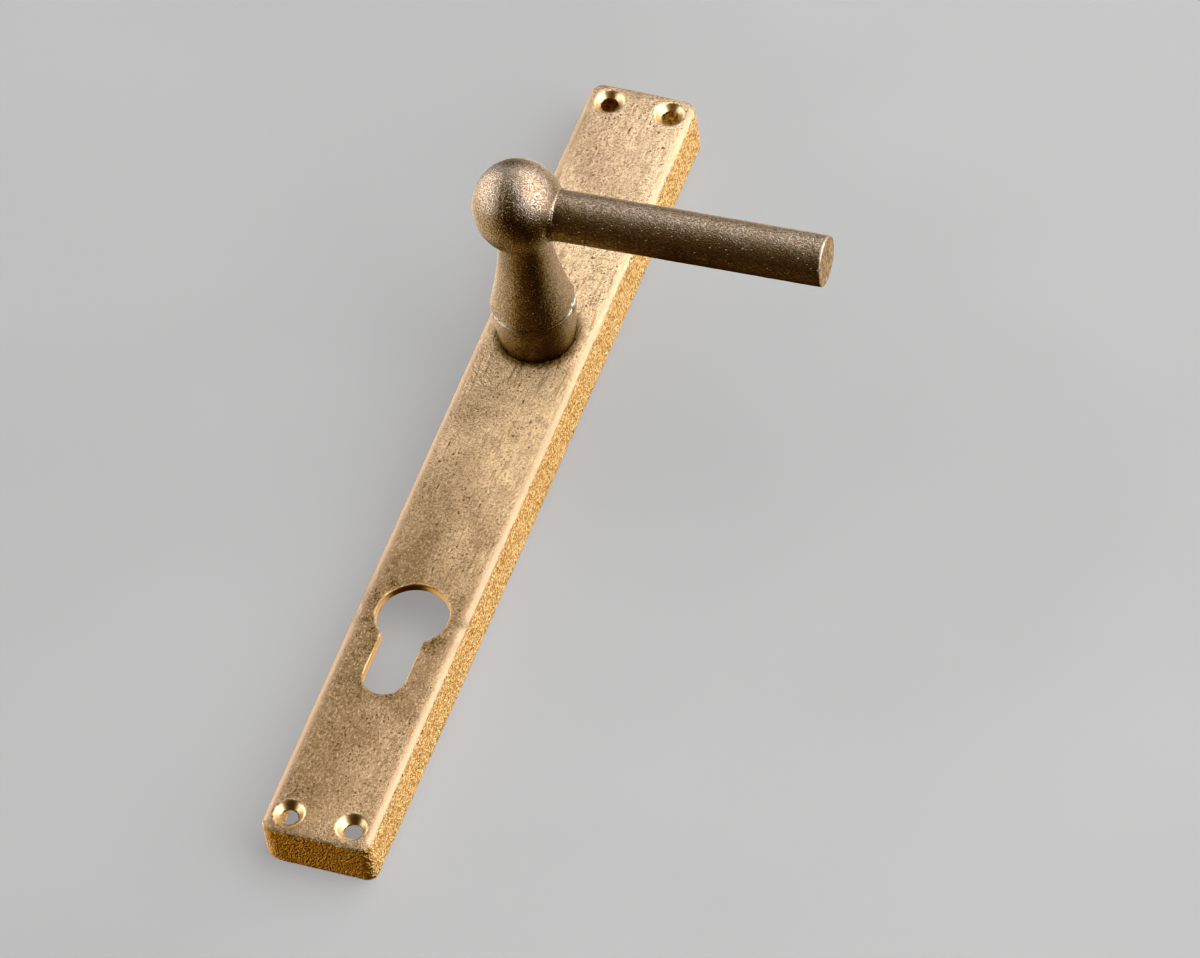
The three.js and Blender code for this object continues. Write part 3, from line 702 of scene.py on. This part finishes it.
class Nodes:
    """A node material under construction. Sizes are in millimetres."""

    def __init__(self, name):
        self.material = bpy.data.materials.new(name)
        self.material.use_nodes = True
        self.tree = self.material.node_tree
        self.shader = self.tree.nodes["Principled BSDF"]

    def add(self, kind, inputs=None, **settings):
        node = self.tree.nodes.new(kind)
        for key, value in settings.items():
            setattr(node, key, value)
        for key, value in (inputs or {}).items():
            self.put(node.inputs[key], value)
        return node

    def put(self, socket, value):
        if isinstance(value, bpy.types.NodeSocket):
            self.tree.links.new(value, socket)
        else:
            socket.default_value = value

    def finish(self, colour, roughness, normal=None, metallic=1.0):
        """Connects the shader and returns the material."""
        self.put(self.shader.inputs["Base Color"], colour)
        self.put(self.shader.inputs["Roughness"], roughness)
        if normal is not None:
            self.put(self.shader.inputs["Normal"], normal)
        self.shader.inputs["Metallic"].default_value = metallic
        return self.material

    def coordinates(self, scale=(1, 1, 1)):
        """Object coordinates, with textures drawn out along the axes whose scale is under 1."""
        source = self.add("ShaderNodeTexCoord").outputs["Object"]
        size = tuple(s / MM for s in scale)
        return self.add("ShaderNodeMapping", {"Vector": source, "Scale": size}).outputs["Vector"]

    def noise(self, per_mm, detail=2.0, roughness=0.5, stretch=(1, 1, 1), distortion=0.0):
        inputs = {
            "Vector": self.coordinates(stretch),
            "Scale": per_mm,
            "Detail": detail,
            "Roughness": roughness,
            "Distortion": distortion,
        }
        return self.add("ShaderNodeTexNoise", inputs).outputs["Fac"]

    def cells(self, per_mm, stretch=(1, 1, 1)):
        """The distance from the middle of each cell, and one random number for each cell."""
        inputs = {"Vector": self.coordinates(stretch), "Scale": per_mm}
        made = self.add("ShaderNodeTexVoronoi", inputs)
        channels = self.add("ShaderNodeSeparateColor", {"Color": made.outputs["Color"]})
        return made.outputs["Distance"], channels.outputs["Red"]

    def attribute(self, name):
        return self.add("ShaderNodeAttribute", attribute_name=name).outputs["Fac"]

    def math(self, operation, a, b, clamp=False):
        node = self.add("ShaderNodeMath", operation=operation, use_clamp=clamp)
        self.put(node.inputs[0], a)
        self.put(node.inputs[1], b)
        return node.outputs[0]

    def times(self, a, b):
        return self.math("MULTIPLY", a, b)

    def plus(self, a, b, clamp=False):
        return self.math("ADD", a, b, clamp)

    def larger(self, a, b):
        return self.math("MAXIMUM", a, b)

    def opposite(self, a):
        return self.math("SUBTRACT", 1.0, a)

    def between(self, value, low, high, out_low=0.0, out_high=1.0):
        inputs = {"Value": value, "From Min": low, "From Max": high, "To Min": out_low, "To Max": out_high}
        return self.add("ShaderNodeMapRange", inputs, interpolation_type="SMOOTHSTEP").outputs["Result"]

    def mixed(self, data_type, share, a, b):
        node = self.add("ShaderNodeMix", data_type=data_type)
        for key, value in (("Factor", share), ("A", a), ("B", b)):
            self.put(node.inputs[key], value)
        return node.outputs["Result"]

    def mix(self, share, a, b):
        """Between two colours."""
        return self.mixed("RGBA", share, a, b)

    def blend(self, share, a, b):
        """Between two numbers."""
        return self.mixed("FLOAT", share, a, b)

    def bump(self, height, distance, strength, below=None):
        inputs = {"Height": height, "Distance": distance * MM, "Strength": strength}
        if below is not None:
            inputs["Normal"] = below
        return self.add("ShaderNodeBump", inputs).outputs["Normal"]


def pits(nodes, per_mm, share, radius, stretch=(1, 1, 1)):
    """From 0 to 1 in the small round pits that this share of the cells has."""
    distance, tone = nodes.cells(per_mm, stretch)
    has_pit = nodes.math("LESS_THAN", tone, share)
    return nodes.times(has_pit, nodes.between(distance, radius, radius * 0.4))


PLATE_MARKS = ("cast", "edge", "machined", "filed", "near_end", "rough_skin", "grime")


def plate_look(nodes):
    """The marks and textures that the plate's colour, roughness and relief share."""
    look = SimpleNamespace(**{name: nodes.attribute(name) for name in PLATE_MARKS})
    look.smooth = nodes.larger(look.machined, look.filed)
    look.grain = nodes.noise(1.9, 3.0, 0.7)
    look.brushed = nodes.noise(2.0, 3.0, 0.7, stretch=(1, 0.5, 1), distortion=0.4)
    look.patches = nodes.noise(0.05, 4.0, 0.6, stretch=(1, 0.6, 1), distortion=0.4)
    look.grit_distance, look.grit_tone = nodes.cells(1.8)
    look.across, look.along, _ = nodes.add("ShaderNodeSeparateXYZ", {"Vector": nodes.coordinates()}).outputs
    look.worn = plate_wear(nodes, look)
    look.pit = plate_pits(nodes, look)
    return look


def plate_wear(nodes, look):
    """From 0 on the tarnished lower half to 1 on the polished upper half, and a little lower towards the
    left edge.
    """
    worn = nodes.between(look.along, -50.0, 10.0)
    worn = nodes.plus(worn, nodes.between(look.across, -10.0, 8.0, -0.2, 0.05))
    return nodes.plus(worn, nodes.between(look.patches, 0.3, 0.7, -0.35, 0.35), clamp=True)


def plate_pits(nodes, look):
    """Small pits in clusters and all over the rough skin, and a few larger and longer ones."""
    clusters = nodes.between(nodes.noise(0.11, 2.0, 0.5), 0.42, 0.62)
    clusters = nodes.larger(clusters, look.rough_skin)
    pit = nodes.times(pits(nodes, 0.95, 0.5, 0.34), nodes.blend(clusters, 0.25, 1.0))
    pit = nodes.larger(pit, pits(nodes, 0.4, 0.08, 0.20))
    pit = nodes.larger(pit, pits(nodes, 0.4, 0.12, 0.20, stretch=(1.3, 0.4, 1)))
    return nodes.times(pit, nodes.opposite(nodes.larger(look.smooth, look.edge)))


def plate_face_colour(nodes, look):
    """Tarnished to polished, with stains in the hollows and scratches, and bright rubbed ridges."""
    blotches = nodes.noise(0.35, 3.0, 0.6)
    scratches = nodes.noise(1.1, 2.0, 0.6, stretch=(1.6, 0.12, 1), distortion=0.3)
    polished = nodes.mix(nodes.between(look.along, 15.0, 100.0), POLISHED_MIDDLE, POLISHED_END)
    face = nodes.mix(look.worn, TARNISHED, polished)
    face = nodes.mix(nodes.between(blotches, 0.35, 0.75, 0.0, 0.3), face, BLOTCHED)
    ridges = nodes.between(look.brushed, 0.46, 0.62, 0.0, nodes.blend(look.worn, 0.38, 0.55))
    face = nodes.mix(ridges, face, RUBBED_RIDGE)
    hollows = nodes.between(look.grain, 0.50, 0.40, 0.0, nodes.blend(look.worn, 0.75, 0.5))
    skin_hollows = nodes.times(look.rough_skin, nodes.between(look.grain, 0.54, 0.44))
    face = nodes.mix(nodes.larger(hollows, skin_hollows), face, STAINED_HOLLOW)
    streaked = nodes.between(look.patches, 0.35, 0.65, 0.1, 0.75)
    streaks = nodes.between(scratches, 0.47, 0.36, 0.0, streaked)
    return nodes.mix(streaks, face, STAINED_SCRATCH)


def plate_relief(nodes, look):
    lumps = nodes.noise(0.75, 3.0, 0.6, distortion=0.5)
    fine = nodes.noise(2.8, 2.0, 0.65)
    calm = nodes.larger(look.smooth, nodes.times(look.edge, 0.7))
    lump_strength = nodes.blend(calm, nodes.blend(look.worn, 0.4, 0.75), 0.0)
    brush_strength = nodes.blend(calm, nodes.blend(look.cast, 0.8, 0.0), 0.0)
    relief = nodes.bump(lumps, 0.7, lump_strength)
    relief = nodes.bump(look.grain, 0.42, nodes.blend(calm, 0.6, 0.0), relief)
    relief = nodes.bump(look.grit_distance, 0.5, nodes.times(look.cast, 0.8), relief)
    relief = nodes.bump(look.brushed, 0.34, brush_strength, relief)
    relief = nodes.bump(fine, 0.2, nodes.blend(calm, 0.9, 0.1), relief)
    relief = nodes.bump(look.grain, 0.5, nodes.times(look.rough_skin, 0.8), relief)
    return nodes.bump(nodes.opposite(look.pit), 0.3, 0.9, relief)


def plate_material():
    """Raw cast bronze: a brushed and partly tarnished face, sandy sides, and filed or machined openings."""
    nodes = Nodes("plate_bronze_cast")
    look = plate_look(nodes)
    grain_tone = nodes.between(look.grain, 0.35, 0.65, 0.0, 0.4)
    sand_tone = nodes.plus(nodes.times(look.grit_tone, 0.6), grain_tone)
    sand = nodes.mix(nodes.between(sand_tone, 0.15, 0.85), SANDY_DARK, SANDY_BRIGHT)
    # Painted shade on the near end face.
    sand = nodes.mix(nodes.times(look.near_end, 0.7), sand, NEAR_END_PAINTED_SHADE)
    colour = nodes.mix(look.cast, plate_face_colour(nodes, look), sand)
    colour = nodes.mix(nodes.times(look.filed, 0.85), colour, FRESHLY_FILED)
    colour = nodes.mix(nodes.times(look.edge, 0.8), colour, WORN_EDGE)
    colour = nodes.mix(nodes.times(look.machined, 0.8), colour, COUNTERSUNK)
    colour = nodes.mix(nodes.times(look.pit, 0.85), colour, PLATE_PIT)
    # Painted shade round the collar's foot.
    colour = nodes.mix(look.grime, colour, PLATE_PAINTED_SHADE)

    face_polish = nodes.between(look.brushed, 0.3, 0.7, 0.36, 0.48)
    sand_polish = nodes.between(sand_tone, 0.2, 0.8, 0.58, 0.38)
    polish = nodes.blend(look.cast, face_polish, sand_polish)
    polish = nodes.plus(polish, nodes.times(look.edge, 0.08))
    roughness = nodes.blend(look.smooth, polish, 0.38)
    return nodes.finish(colour, roughness, plate_relief(nodes, look))


def dark_bronze_material(name, dark, light, stretch, softness, roughness=0.2, sawn_end=False):
    """Dark patinated bronze with a bright grain, which is blurred by its softness and drawn out by its
    stretch."""
    nodes = Nodes(name)
    grain = nodes.noise(2.6, 3.0, 0.65, stretch=stretch)
    fine = nodes.noise(4.4, 2.0, 0.6, stretch=stretch)
    patches = nodes.noise(0.12, 3.0, 0.6)
    pit = pits(nodes, 1.2, 0.18, 0.28)
    grain_tone = nodes.plus(grain, nodes.between(fine, 0.3, 0.7, -0.08, 0.08))
    high = nodes.between(grain_tone, 0.52 - softness, 0.52 + softness)
    colour = nodes.mix(high, dark, light)
    colour = nodes.mix(nodes.between(patches, 0.35, 0.7, 0.0, 0.3), colour, DARK_PATCH)
    # The edge mark is bright wear at the grip's rim, and at the seam wear with a painted highlight.
    colour = nodes.mix(nodes.times(nodes.attribute("edge"), 0.9), colour, BRIGHT_SEAM)
    colour = nodes.mix(nodes.times(pit, 0.7), colour, DARK_PIT)
    # The next mark darkens the neck under the ball and the collar's front with painted shade.
    colour = nodes.mix(nodes.attribute("grime"), colour, PAINTED_SHADE_DARK)
    relief = nodes.bump(grain, 0.16, 0.8)
    relief = nodes.bump(fine, 0.11, 0.8, relief)
    relief = nodes.bump(nodes.opposite(pit), 0.2, 0.8, relief)
    if sawn_end:
        machined = nodes.attribute("machined")
        mottle = nodes.noise(1.0, 4.0, 0.75, stretch=(0.6, 1.4, 1), distortion=0.8)
        sawn = nodes.mix(nodes.between(mottle, 0.38, 0.60), SAWN_DARK, SAWN_BRIGHT)
        colour = nodes.mix(machined, colour, sawn)
        relief = nodes.bump(mottle, 0.8, machined, relief)
    return nodes.finish(colour, nodes.between(high, 0.0, 1.0, roughness + 0.13, roughness), relief)


def small_metal_material(name, dark, light, roughness):
    """Plated or drawn steel with faint marks."""
    nodes = Nodes(name)
    cloud = nodes.noise(0.6, 4.0, 0.6)
    marks = nodes.noise(3.0, 3.0, 0.6, stretch=(1, 0.2, 1))
    colour = nodes.mix(nodes.between(cloud, 0.3, 0.7), dark, light)
    polish = nodes.between(marks, 0.3, 0.7, roughness, roughness + 0.15)
    return nodes.finish(colour, polish, nodes.bump(marks, 0.03, 0.4))


def nylon_material():
    nodes = Nodes("nylon_natural")
    cloud = nodes.noise(0.4, 3.0, 0.6)
    colour = nodes.mix(nodes.between(cloud, 0.3, 0.7), rgb(0.70, 0.67, 0.58), rgb(0.80, 0.78, 0.70))
    nodes.shader.inputs["Subsurface Weight"].default_value = 0.1
    relief = nodes.bump(nodes.noise(2.5), 0.02, 0.3)
    return nodes.finish(colour, nodes.between(cloud, 0.3, 0.7, 0.5, 0.62), relief, metallic=0.0)


def floor_material():
    """A plain pale matt sheet."""
    nodes = Nodes("pale_floor")
    cloud = nodes.noise(0.004, 3.0, 0.5)
    colour = nodes.mix(nodes.between(cloud, 0.3, 0.7), rgb(0.115, 0.115, 0.115), rgb(0.125, 0.125, 0.125))
    nodes.shader.inputs["Specular IOR Level"].default_value = 0.2
    return nodes.finish(colour, roughness=0.7, metallic=0.0)


# ---- Object ----

def dress(piece, material, body, stands_for):
    """Gives a piece its material, its body, and the CAD node that it is shown instead of."""
    piece.data.materials.append(material)
    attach(piece, body)
    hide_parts(stands_for)


def paint_nodes(material, *names):
    for name in names:
        for slot in frame["nodes"][name].material_slots:
            slot.material = material


def build_handle():
    dress(make_plate(), plate_material(), "plate", "backplate")
    cast = dark_bronze_material(
        "dark_bronze_cast",
        dark=rgb(0.165, 0.09, 0.032),
        light=rgb(0.48, 0.425, 0.37),
        stretch=(1, 1, 0.85),
        softness=0.2,
    )
    dress(make_collar(), cast, "plate", "neck_collar")
    dress(make_lever(), cast, "lever", "lever_head")
    grip = dark_bronze_material(
        "dark_bronze_grip",
        dark=rgb(0.185, 0.122, 0.07),
        light=rgb(0.455, 0.385, 0.31),
        stretch=(1, 1, 0.55),
        softness=0.10,
        roughness=0.32,
        sawn_end=True,
    )
    dress(make_grip(), grip, "lever", "grip_bar")
    zinc = small_metal_material("zinc_plated_steel", rgb(0.45, 0.46, 0.47), rgb(0.62, 0.63, 0.64), 0.3)
    paint_nodes(zinc, "spring_cover", "cover_screw_upper", "cover_screw_lower", "driver_disc")
    paint_nodes(zinc, "grip_pin", "grub_screw")
    spring = small_metal_material("blued_spring_steel", rgb(0.16, 0.17, 0.20), rgb(0.30, 0.31, 0.33), 0.25)
    paint_nodes(spring, "return_spring", "wave_washer", "retaining_ring")
    paint_nodes(nylon_material(), "bearing_bush", "thrust_washer")


# ---- Camera, floor and light, in metres ----

# The camera looks from between -Y and +X, turned a little about its own line of sight. Its lens and
# sensor are in millimetres.
CAMERA_AZIMUTH = math.radians(26.0)
CAMERA_ELEVATION = math.radians(51.2)
CAMERA_ROLL = math.radians(-8.36)
CAMERA_DISTANCE = 2.602
CAMERA_TARGET = Vector((0.0304, 0.0007, 0.0118))
CAMERA_LENS = 315.05
SENSOR_WIDTH = 36.0
CAMERA_SIGHT = 80

FLOOR_HALF = 8
FLOOR_FLAT = 3.6
FLOOR_RISE = 0.12
SQUARES_PER_METRE = 8

WHITE = (1.0, 1.0, 1.0)
CREAM = (1.0, 0.93, 0.82)
WARM = (1.0, 0.84, 0.58)
AMBER = (1.0, 0.45, 0.08, 1.0)


def add_camera():
    sa, ca = math.sin(CAMERA_AZIMUTH), math.cos(CAMERA_AZIMUTH)
    se, ce = math.sin(CAMERA_ELEVATION), math.cos(CAMERA_ELEVATION)
    back = Vector((sa * ce, -ca * ce, se))
    right = Vector((ca, sa, 0))
    up = back.cross(right)
    level = Matrix((right, up, back)).transposed()
    turn = level @ Matrix.Rotation(CAMERA_ROLL, 3, "Z")
    data = bpy.data.cameras.new("camera")
    data.lens = CAMERA_LENS
    data.sensor_width = SENSOR_WIDTH
    data.clip_end = CAMERA_SIGHT
    camera = bpy.data.objects.new("camera", data)
    camera.matrix_world = Matrix.Translation(CAMERA_TARGET + back * CAMERA_DISTANCE) @ turn.to_4x4()
    bpy.context.scene.collection.objects.link(camera)
    bpy.context.scene.camera = camera


def add_floor():
    """A floor that is flat round the handle and sweeps up far away, so that low views end on it too."""
    count = 2 * FLOOR_HALF * SQUARES_PER_METRE + 1
    across = np.linspace(-FLOOR_HALF, FLOOR_HALF, count)
    x, y = (grid.ravel() for grid in np.meshgrid(across, across))
    z = FLOOR_RISE * np.maximum(np.hypot(x, y) - FLOOR_FLAT, 0) ** 2
    start = np.arange(count * count).reshape(count, count)[:-1, :-1].ravel()
    squares = np.stack([start, start + 1, start + count + 1, start + count], axis=1)
    mesh = bpy.data.meshes.new("floor")
    mesh.from_pydata(np.stack([x, y, z], axis=1).tolist(), [], squares.tolist())
    mesh.polygons.foreach_set("use_smooth", [True] * len(mesh.polygons))
    mesh.materials.append(floor_material())
    floor = bpy.data.objects.new("floor", mesh)
    bpy.context.scene.collection.objects.link(floor)
    floor.visible_glossy = False
    floor.visible_shadow = False


def add_softbox(name, turn, rise, distance, size, radiance, colour=WHITE):
    """An area light that looks at the handle from that many degrees round from +X and degrees up."""
    width, height = size
    turn, rise = math.radians(turn), math.radians(rise)
    away = Vector((math.cos(turn) * math.cos(rise), math.sin(turn) * math.cos(rise), math.sin(rise)))
    data = bpy.data.lights.new(name, "AREA")
    data.shape = "RECTANGLE"
    data.size = width
    data.size_y = height
    data.energy = radiance * math.pi * width * height
    data.color = colour
    light = bpy.data.objects.new(name, data)
    light.location = away * distance + Vector((0, 0, 0.04))
    light.rotation_euler = away.to_track_quat("Z", "Y").to_euler()
    bpy.context.scene.collection.objects.link(light)
    return light


def add_overhead():
    """A wide soft sky of light from straight above."""
    data = bpy.data.lights.new("overhead", "SUN")
    data.energy = 9.2
    data.angle = math.radians(70)
    light = bpy.data.objects.new("overhead", data)
    light.location = (0, 0, 2)
    bpy.context.scene.collection.objects.link(light)
    return light


def floor_collection(name, state):
    """A light-linking collection that includes or excludes the floor."""
    made = bpy.data.collections.new(name)
    made.objects.link(bpy.data.objects["floor"])
    made.collection_objects[0].light_linking.link_state = state
    return made


def add_world():
    world = bpy.data.worlds.new("studio")
    world.use_nodes = True
    background = world.node_tree.nodes["Background"]
    background.inputs["Color"].default_value = AMBER
    background.inputs["Strength"].default_value = 0.025
    bpy.context.scene.world = world


def add_lighting():
    """The low softboxes stand below the floor for the light that a shiny floor throws up at the handle.
    The left softbox leaves out the floor, and the overhead light is for it alone, so that it is evenly
    pale in every view."""
    add_softbox("right_softbox", 39, 42, 1.4, (2.8, 1.7), 4.2)
    add_softbox("side_softbox", -6, 28, 1.3, (0.9, 0.9), 3.6)
    left = add_softbox("left_softbox", 177, 14, 1.25, (2.0, 0.95), 4.4)
    add_softbox("low_right_softbox", 62, -42, 1.2, (2.3, 1.3), 1.38, WARM)
    add_softbox("low_left_softbox", 188, -36, 1.2, (2.1, 1.2), 1.4, WARM)
    add_softbox("low_back_softbox", 116, -34, 1.3, (1.6, 1.0), 0.5, CREAM)
    add_softbox("back_softbox", 118, 40, 1.7, (0.9, 1.0), 0.62)
    add_softbox("top_softbox", 92, 76, 1.4, (0.8, 0.4), 0.8)
    left.light_linking.receiver_collection = floor_collection("all_but_floor", "EXCLUDE")
    floor_only = floor_collection("floor_only", "INCLUDE")
    overhead = add_overhead()
    overhead.light_linking.receiver_collection = floor_only
    overhead.light_linking.blocker_collection = floor_only


def set_tone():
    """A soft print tone: lifted middle tones, and deep shadows that are a little warm."""
    view = bpy.context.scene.view_settings
    view.view_transform = "Standard"
    view.gamma = 0.88
    view.use_curve_mapping = True
    red, green, blue, _ = view.curve_mapping.curves
    for curve, shadow in ((red, 0.026), (green, 0.020), (blue, 0.012)):
        curve.points.new(0.03, shadow)
        curve.points.new(0.12, 0.12)
        curve.points.new(0.5, 0.5)
    view.curve_mapping.update()


add_camera()
build_handle()
add_floor()
add_world()
add_lighting()
set_tone()
